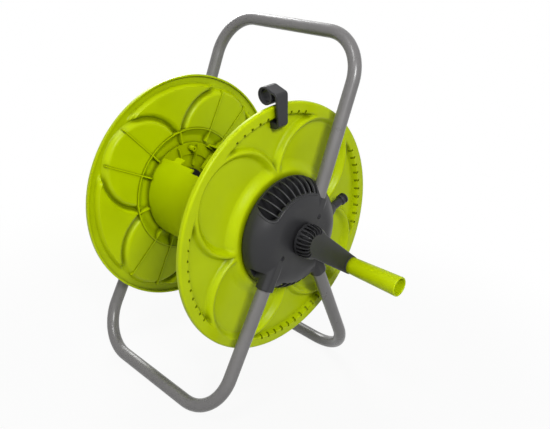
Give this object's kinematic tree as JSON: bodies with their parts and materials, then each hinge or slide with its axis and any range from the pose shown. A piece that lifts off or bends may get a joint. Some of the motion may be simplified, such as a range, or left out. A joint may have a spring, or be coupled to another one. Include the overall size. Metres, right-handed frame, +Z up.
{
  "type": "garden hose reel",
  "caption": "Free-standing garden hose reel: ribbed drum flanges between hub brackets, turned by a hand crank, water inlet at the hub, on bent tube legs with a carrying handle.",
  "frame": {"origin": "on the ground, under the middle of the whole object", "axes": "+X along the axle towards the crank, +Z up, -Y towards the front leg"},
  "size_m": [0.432, 0.38, 0.561],
  "materials": {
    "lime_plastic": "satin moulded plastic, fine grain",
    "charcoal_plastic": "matt moulded plastic, fine spark texture",
    "bush_plastic": "natural acetal",
    "tube_paint": "grey powder coat, semi-gloss",
    "steel": "zinc plated",
    "rubber": "matt"
  },
  "bodies": {
    "frame": {"right_cover": "charcoal_plastic", "left_cover": "charcoal_plastic", "right_plate": "charcoal_plastic", "left_plate": "charcoal_plastic", "cover_screws": "steel", "tube_screws": "steel", "right_bush": "bush_plastic", "left_bush": "bush_plastic", "inlet_manifold": "charcoal_plastic", "inlet_nipple": "charcoal_plastic", "nipple_seal": "rubber", "left_bearing": "charcoal_plastic", "handle_tube": "tube_paint", "front_leg_tube": "tube_paint", "rear_leg_tube": "tube_paint"},
    "reel": {"left_flange": "lime_plastic", "right_flange": "lime_plastic", "drum_core": "lime_plastic", "water_axle": "charcoal_plastic", "stub_axle": "charcoal_plastic", "axle_seals": "rubber", "outlet_elbow": "charcoal_plastic", "outlet_nut": "charcoal_plastic", "flange_screws": "steel", "axle_screws": "steel", "crank_arm": "charcoal_plastic", "crank_pin": "steel", "grip_spindle": "steel", "grip_retainer": "steel", "hose_clip": "charcoal_plastic"},
    "grip": {"crank_grip": "lime_plastic"}
  },
  "joints": [
    {"name": "reel_spin", "type": "hinge", "parent": "frame", "child": "reel", "pos_m": [-0.058, 0, 0.269], "axis": [1, 0, 0], "continuous": true},
    {"name": "grip_spin", "type": "hinge", "parent": "reel", "child": "grip", "pos_m": [0.17, 0.08743, 0.21647], "axis": [1, 0, 0], "continuous": true}
  ]
}
